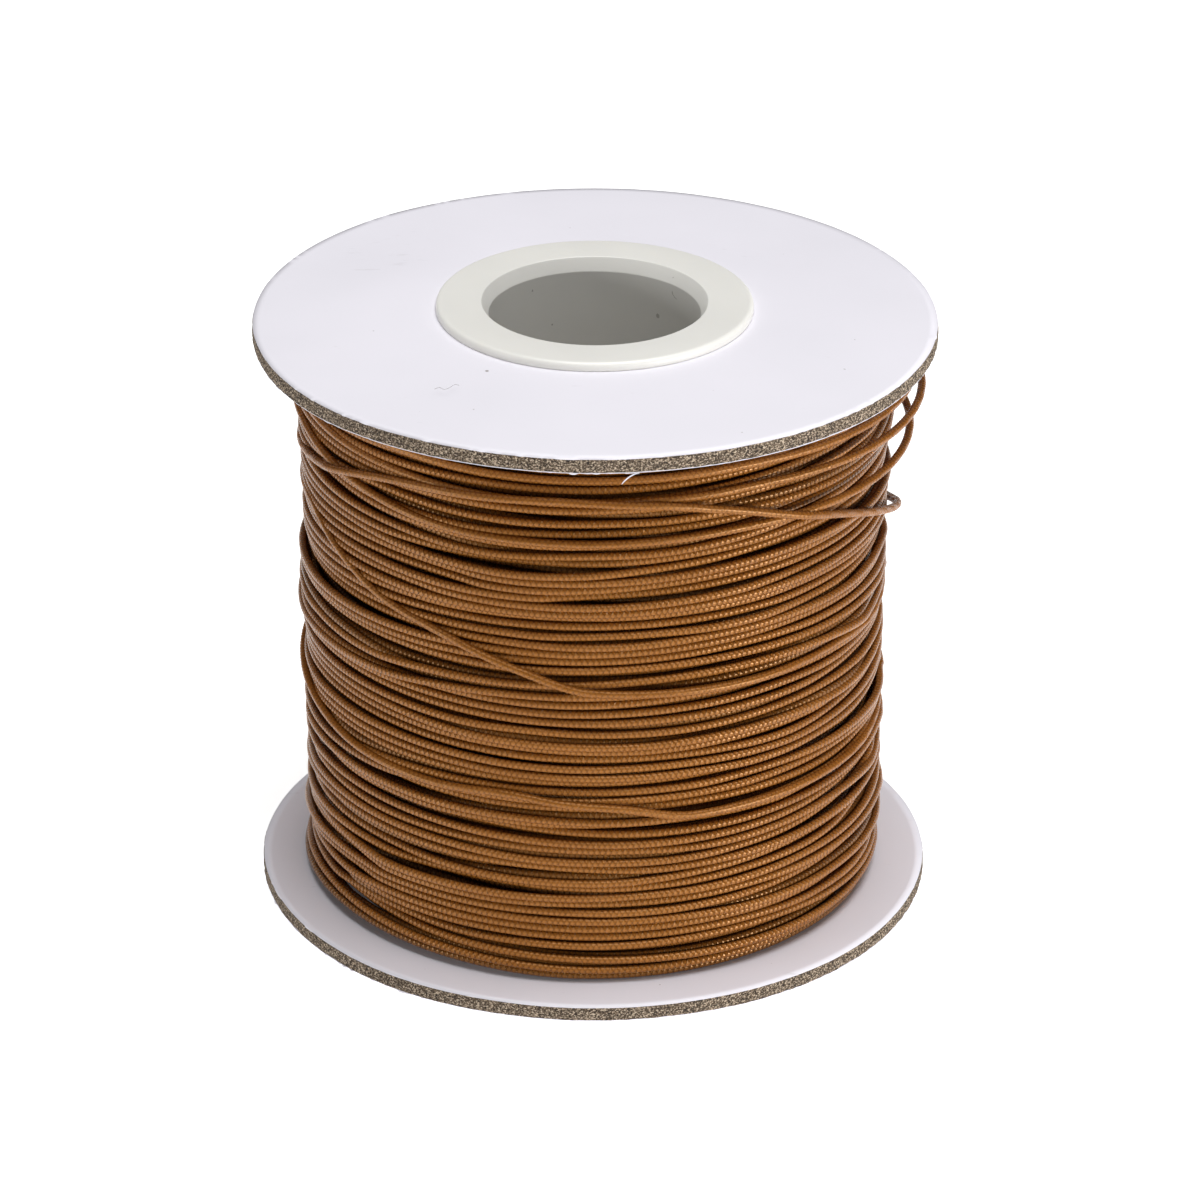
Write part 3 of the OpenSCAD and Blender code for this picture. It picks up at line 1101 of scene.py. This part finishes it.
inner_pieces, outer_pieces = layer_pieces[:-2], layer_pieces[-2:]
# The roll under the laid turns is painted darker than the cord, as shade.
dress([inner_roll], deep_cord_finish("waxed_cord_deep_painted_shade"))
dress(outer_pieces, waxed_cord_finish("waxed_cord"))
# The inner layers are seen only down the gaps between outer turns; their colours are scaled by 0.6 as painted
# shade.
dress(inner_pieces, waxed_cord_finish("waxed_cord_inner_painted_shade", shade=0.6))
dress(last_pieces.values(), waxed_cord_finish("waxed_cord_relief", relief_is_real=True))
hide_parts("cord_pack")
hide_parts("cord_top_layer")
for name, node in {
    "cord_slack_top": "cord_slack_turn_top", "cord_slack_middle": "cord_slack_turn_middle",
    "cord_slack_low": "cord_slack_turn_low", "cord_stray": "cord_stray_turn",
    "cord_crossing": "cord_crossing_turn",
}.items():
    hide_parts(node)


# %% [markdown]
# ### Paper and board
#
# The paper is bright white with a cool, faintly violet cast from its dye, and
# quite matt. It has picked up a few specks and short scuffs. The board is made
# of waste paper, so its cut edge shows fibres of every tone: mostly warm grey,
# with light and dark flecks drawn out along the layers.

# %% White paper
handled_place = tuple(MM * v for v in (-23, 16.5, node_size("upper_hub_bush")[1][2] - 2))


# bright scales the paper's colours; above 1 it is painted light.
def white_paper(name, dirt, bright=1.0):
    finish = Finish(name)
    mottle = finish.noise(60, 3, 0.5)
    white = finish.blend(mottle, *[
        tuple(bright * c for c in colour) + (1,) for colour in ((0.70, 0.685, 0.735), (0.73, 0.71, 0.765))])
    dots = finish.specks(260, 0.16, dirt)
    fine_dots = finish.specks(700, 0.13, 0.93)
    marks = finish.math("MAXIMUM", dots, finish.math("MULTIPLY", fine_dots, 0.6))
    scuff = finish.noise(520, 3, 0.65, finish.stretched(0.5, 1.8, 1.0))
    handled = finish.add("VectorMath", {"operation": "DISTANCE"}, i0=finish.where(), i1=handled_place)
    often = finish.between(handled.outputs["Value"], 2 * MM, 9 * MM, 1.0, 0.0)
    scuffed = finish.between(finish.math("MULTIPLY_ADD", often, 0.12, scuff), 0.70, 0.76, 0.0, 0.55)
    colour = finish.blend(scuffed, white, (0.62, 0.60, 0.64, 1))
    finish.surface(
        Base_Color=finish.blend(finish.math("MULTIPLY", marks, 0.75), colour, (0.2, 0.17, 0.15, 1)),
        Roughness=finish.between(mottle, 0.3, 0.7, 0.5, 0.6),
        Normal=finish.bump(finish.noise(1400, 3, 0.6), 0.02 * MM, 0.5),
    )
    return finish


clean_paper = white_paper("white_paper", 0.965)
# The lower paper has more specks, and its colours are raised 1.12 times as painted light, for the light that
# reaches the lower flange less.
dusty_brightened_paper = white_paper("white_paper_dusty", 0.93, bright=1.12)
dress([papers["upper_outer"], papers["upper_inner"], shred], clean_paper)
dress([papers["lower_outer"], papers["lower_inner"]], dusty_brightened_paper)
for which, piece in papers.items():
    end_name, face = which.split("_")
    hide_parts(f"{end_name}_flange_{face}_paper")


# %% Cut grey board
def cut_board(name):
    finish = Finish(name)
    layers = finish.noise(900, 3, 0.6, finish.stretched(1.0, 1.0, 3.0))
    flecks = finish.noise(4200, 3, 0.7, finish.stretched(1.0, 1.0, 1.4))
    between_layers = finish.between(layers, 0.35, 0.65)
    tone = finish.blend(between_layers, (0.080, 0.052, 0.030, 1), (0.155, 0.108, 0.068, 1))
    pale = finish.blend(finish.between(flecks, 0.54, 0.59), tone, (0.52, 0.42, 0.31, 1))
    finish.surface(
        Base_Color=finish.blend(finish.between(flecks, 0.48, 0.42), pale, (0.016, 0.011, 0.007, 1)),
        Roughness=finish.between(layers, 0.3, 0.7, 0.8, 0.95),
        Normal=finish.bump(flecks, 0.2 * MM, 1.0),
    )
    return finish


dress(boards.values(), cut_board("cut_greyboard"))
for which, piece in boards.items():
    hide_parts(f"{which}_flange_board")


# %% [markdown]
# ### Plastic, card and lint
#
# The bushes are a warm off-white plastic, satin rather than glossy, with very
# faint unevenness from the mould and a few specks of dust. The core is brown
# card; it is only seen if the spool is taken apart.

# %% Satin plastic
def bush_plastic(name):
    finish = Finish(name)
    cloud = finish.noise(120, 2, 0.5)
    dots = finish.math("MULTIPLY", finish.specks(420, 0.13, 0.95), 0.6)
    body = finish.blend(cloud, (0.665, 0.655, 0.62, 1), (0.705, 0.695, 0.655, 1))
    finish.surface(
        Base_Color=finish.blend(dots, body, (0.22, 0.2, 0.17, 1)),
        Roughness=finish.between(cloud, 0.3, 0.7, 0.34, 0.42),
        Normal=finish.bump(finish.noise(500, 2, 0.5), 0.01 * MM, 0.4),
    )
    finish.shader.inputs["Subsurface Weight"].default_value = 0.08
    finish.shader.inputs["Subsurface Radius"].default_value = (1.0 * MM, 0.9 * MM, 0.7 * MM)
    return finish


dress(bushes.values(), bush_plastic("bush_plastic"))
for which, piece in bushes.items():
    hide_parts(f"{which}_hub_bush")


# %% Card and lint
def brown_card(name):
    finish = Finish(name)
    fibre = finish.noise(500, 3, 0.6, finish.stretched(1.0, 1.0, 0.4))
    finish.surface(
        Base_Color=finish.blend(fibre, (0.30, 0.21, 0.13, 1), (0.42, 0.31, 0.20, 1)),
        Roughness=finish.between(fibre, 0.3, 0.7, 0.75, 0.9),
        Normal=finish.bump(fibre, 0.05 * MM, 0.6),
    )
    return finish


def dark_lint(name):
    finish = Finish(name)
    tone = finish.noise(2000, 2, 0.5)
    finish.surface(
        Base_Color=finish.blend(tone, (0.05, 0.035, 0.03, 1), (0.12, 0.09, 0.07, 1)),
        Roughness=finish.between(tone, 0.3, 0.7, 0.6, 0.8),
    )
    return finish


dress([core], brown_card("core_card"))
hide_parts("core_tube")
dress(lint_pieces, dark_lint("dark_lint"))


# %% [markdown]
# ## Table and light
#
# The spool stands on a plain pale table that glows a little, as a light table
# does, so the spool throws hardly any shadow. A large panel hangs above. A low,
# thin one on the right puts a row of small glints on the wax, because it stands
# where the lower half of each turn reflects it. One on the left fills in.

# %% Table
def table_top():
    half = 3000.0
    corners = np.array([(-half, -half, 0), (half, -half, 0), (half, half, 0), (-half, half, 0)])
    piece = new_mesh("table_top", corners, np.array([[0, 1, 2, 3]]))
    finish = Finish("pale_table")
    grain = finish.noise(30, 3, 0.5)
    finish.surface(
        Base_Color=finish.blend(grain, (0.92, 0.92, 0.92, 1), (0.94, 0.94, 0.94, 1)),
        Roughness=finish.between(grain, 0.3, 0.7, 0.55, 0.7),
    )
    finish.shader.inputs["Emission Color"].default_value = (1, 1, 1, 1)
    finish.shader.inputs["Emission Strength"].default_value = 0.5
    piece.data.materials.append(finish.material)
    return piece


table = table_top()
table.location.z = spool_low.z


# %% Lights
def soft_panel(name, place, size, power):
    data = bpy.data.lights.new(name, "AREA")
    data.shape = "RECTANGLE"
    data.size, data.size_y = size
    data.energy = power
    panel = bpy.data.objects.new(name, data)
    panel.location = place
    panel.rotation_euler = (spool_middle - Vector(place)).to_track_quat("-Z", "Y").to_euler()
    bpy.context.collection.objects.link(panel)
    return panel


soft_panel("panel_above", (0.08, -0.06, 0.85), (0.6, 0.6), 8.1)
soft_panel("panel_right", (0.60, -0.40, 0.05), (0.42, 0.045), 4.0)
soft_panel("panel_left", (-0.75, -0.34, 0.14), (0.3, 0.2), 1.9)


# %% [markdown]
# The room should look pale from a low view, but must give little light, or the
# panels' shading is lost. So it has two strengths: what the camera sees
# directly is bright, and what reaches the spool is dim.

# %% The room
room = bpy.data.worlds.new("pale_room")
room.use_nodes = True
room_nodes, room_links = room.node_tree.nodes, room.node_tree.links
given_off = room_nodes["Background"]
given_off.inputs["Color"].default_value = (1, 1, 1, 1)
given_off.inputs["Strength"].default_value = 0.09
seen = room_nodes.new("ShaderNodeBackground")
seen.inputs["Color"].default_value = (1, 1, 1, 1)
seen.inputs["Strength"].default_value = 1.0
ray_kind = room_nodes.new("ShaderNodeLightPath")
either = room_nodes.new("ShaderNodeMixShader")
room_links.new(ray_kind.outputs["Is Camera Ray"], either.inputs[0])
room_links.new(given_off.outputs[0], either.inputs[1])
room_links.new(seen.outputs[0], either.inputs[2])
room_links.new(either.outputs[0], room_nodes["World Output"].inputs["Surface"])
bpy.context.scene.world = room
